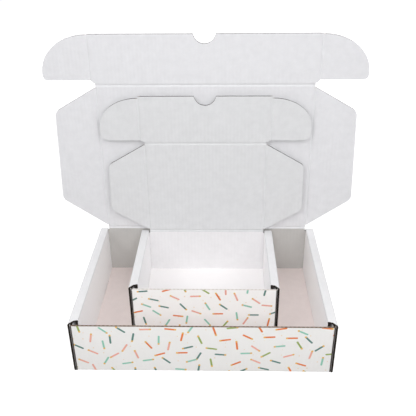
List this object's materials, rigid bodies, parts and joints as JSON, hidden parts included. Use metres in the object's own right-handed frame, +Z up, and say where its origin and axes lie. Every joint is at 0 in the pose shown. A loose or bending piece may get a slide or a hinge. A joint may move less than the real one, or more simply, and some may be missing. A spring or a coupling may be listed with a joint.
{
  "type": "nested mailer boxes",
  "caption": "Small corrugated tuck-top mailer box standing inside a larger one, with lids, wings, tuck flaps and ears that fold on their creases.",
  "frame": {"origin": "centre of the large box's underside, on the surface that it stands on", "axes": "+Z up, +X to the right along the long side, the front walls face -Y and the lids are hinged at +Y"},
  "size_m": [0.343, 0.1838, 0.2855],
  "materials": {
    "printed_board": "matte white clay-coated liner with a scattered print",
    "plain_board": "matte uncoated white liner"
  },
  "bodies": {
    "large_tray": {"large_floor": "plain_board", "large_front_wall": "printed_board", "large_back_wall": "printed_board", "large_side_outer_left": "printed_board", "large_side_outer_right": "printed_board", "large_rim_left": "plain_board", "large_rim_right": "plain_board", "large_side_inner_left": "plain_board", "large_side_inner_right": "plain_board", "large_front_ear_left": "plain_board", "large_front_ear_right": "plain_board", "large_back_ear_left": "plain_board", "large_back_ear_right": "plain_board"},
    "large_lid": {"large_lid": "printed_board"},
    "large_wing_left": {"large_wing_left": "plain_board"},
    "large_wing_right": {"large_wing_right": "plain_board"},
    "large_tuck_flap": {"large_tuck_flap": "plain_board"},
    "large_tuck_ear_left": {"large_tuck_ear_left": "plain_board"},
    "large_tuck_ear_right": {"large_tuck_ear_right": "plain_board"},
    "small_tray": {"small_floor": "plain_board", "small_front_wall": "printed_board", "small_back_wall": "printed_board", "small_side_outer_left": "printed_board", "small_side_outer_right": "printed_board", "small_rim_left": "plain_board", "small_rim_right": "plain_board", "small_side_inner_left": "plain_board", "small_side_inner_right": "plain_board", "small_front_ear_left": "plain_board", "small_front_ear_right": "plain_board", "small_back_ear_left": "plain_board", "small_back_ear_right": "plain_board"},
    "small_lid": {"small_lid": "printed_board"},
    "small_wing_left": {"small_wing_left": "plain_board"},
    "small_wing_right": {"small_wing_right": "plain_board"},
    "small_tuck_flap": {"small_tuck_flap": "plain_board"},
    "small_tuck_ear_left": {"small_tuck_ear_left": "plain_board"},
    "small_tuck_ear_right": {"small_tuck_ear_right": "plain_board"}
  },
  "joints": [
    {"name": "large_lid_hinge", "type": "hinge", "parent": "large_tray", "child": "large_lid", "pos_m": [0, 0.087, 0.0612], "axis": [-1, 0, 0], "range_deg": [-92, 30]},
    {"name": "large_wing_left_fold", "type": "hinge", "parent": "large_lid", "child": "large_wing_left", "pos_m": [-0.11685, 0.08999, 0.14685], "axis": [0, -0.0349, -0.9994], "range_deg": [-90, 0]},
    {"name": "large_wing_right_fold", "type": "hinge", "parent": "large_lid", "child": "large_wing_right", "pos_m": [0.11685, 0.08999, 0.14685], "axis": [0, 0.0349, 0.9994], "range_deg": [-90, 0]},
    {"name": "large_tuck_fold", "type": "hinge", "parent": "large_lid", "child": "large_tuck_flap", "pos_m": [0, 0.09298, 0.2325], "axis": [-1, 0, 0], "range_deg": [-90, 0]},
    {"name": "large_tuck_ear_left_fold", "type": "hinge", "parent": "large_tuck_flap", "child": "large_tuck_ear_left", "pos_m": [-0.1215, 0.09391, 0.25898], "axis": [0, -0.0349, -0.9994], "range_deg": [-90, 0]},
    {"name": "large_tuck_ear_right_fold", "type": "hinge", "parent": "large_tuck_flap", "child": "large_tuck_ear_right", "pos_m": [0.1215, 0.09391, 0.25898], "axis": [0, 0.0349, 0.9994], "range_deg": [-90, 0]},
    {"name": "small_lid_hinge", "type": "hinge", "parent": "small_tray", "child": "small_lid", "pos_m": [0, 0.083, 0.0589], "axis": [-1, 0, 0], "range_deg": [-92, 30]},
    {"name": "small_wing_left_fold", "type": "hinge", "parent": "small_lid", "child": "small_wing_left", "pos_m": [-0.06735, 0.08491, 0.11357], "axis": [0, -0.0349, -0.9994], "range_deg": [-90, 0]},
    {"name": "small_wing_right_fold", "type": "hinge", "parent": "small_lid", "child": "small_wing_right", "pos_m": [0.06735, 0.08491, 0.11357], "axis": [0, 0.0349, 0.9994], "range_deg": [-90, 0]},
    {"name": "small_tuck_fold", "type": "hinge", "parent": "small_lid", "child": "small_tuck_flap", "pos_m": [0, 0.08682, 0.16823], "axis": [-1, 0, 0], "range_deg": [-90, 0]},
    {"name": "small_tuck_ear_left_fold", "type": "hinge", "parent": "small_tuck_flap", "child": "small_tuck_ear_left", "pos_m": [-0.072, 0.08775, 0.19487], "axis": [0, -0.0349, -0.9994], "range_deg": [-90, 0]},
    {"name": "small_tuck_ear_right_fold", "type": "hinge", "parent": "small_tuck_flap", "child": "small_tuck_ear_right", "pos_m": [0.072, 0.08775, 0.19487], "axis": [0, 0.0349, 0.9994], "range_deg": [-90, 0]},
    {"name": "small_box_lift", "type": "slide", "parent": "large_tray", "child": "small_tray", "axis": [0, 0, 1], "range_m": [0, 0.15]}
  ],
  "couplings": [
    {"joint": "small_lid_hinge", "follows": "large_lid_hinge", "ratio": 1}
  ]
}
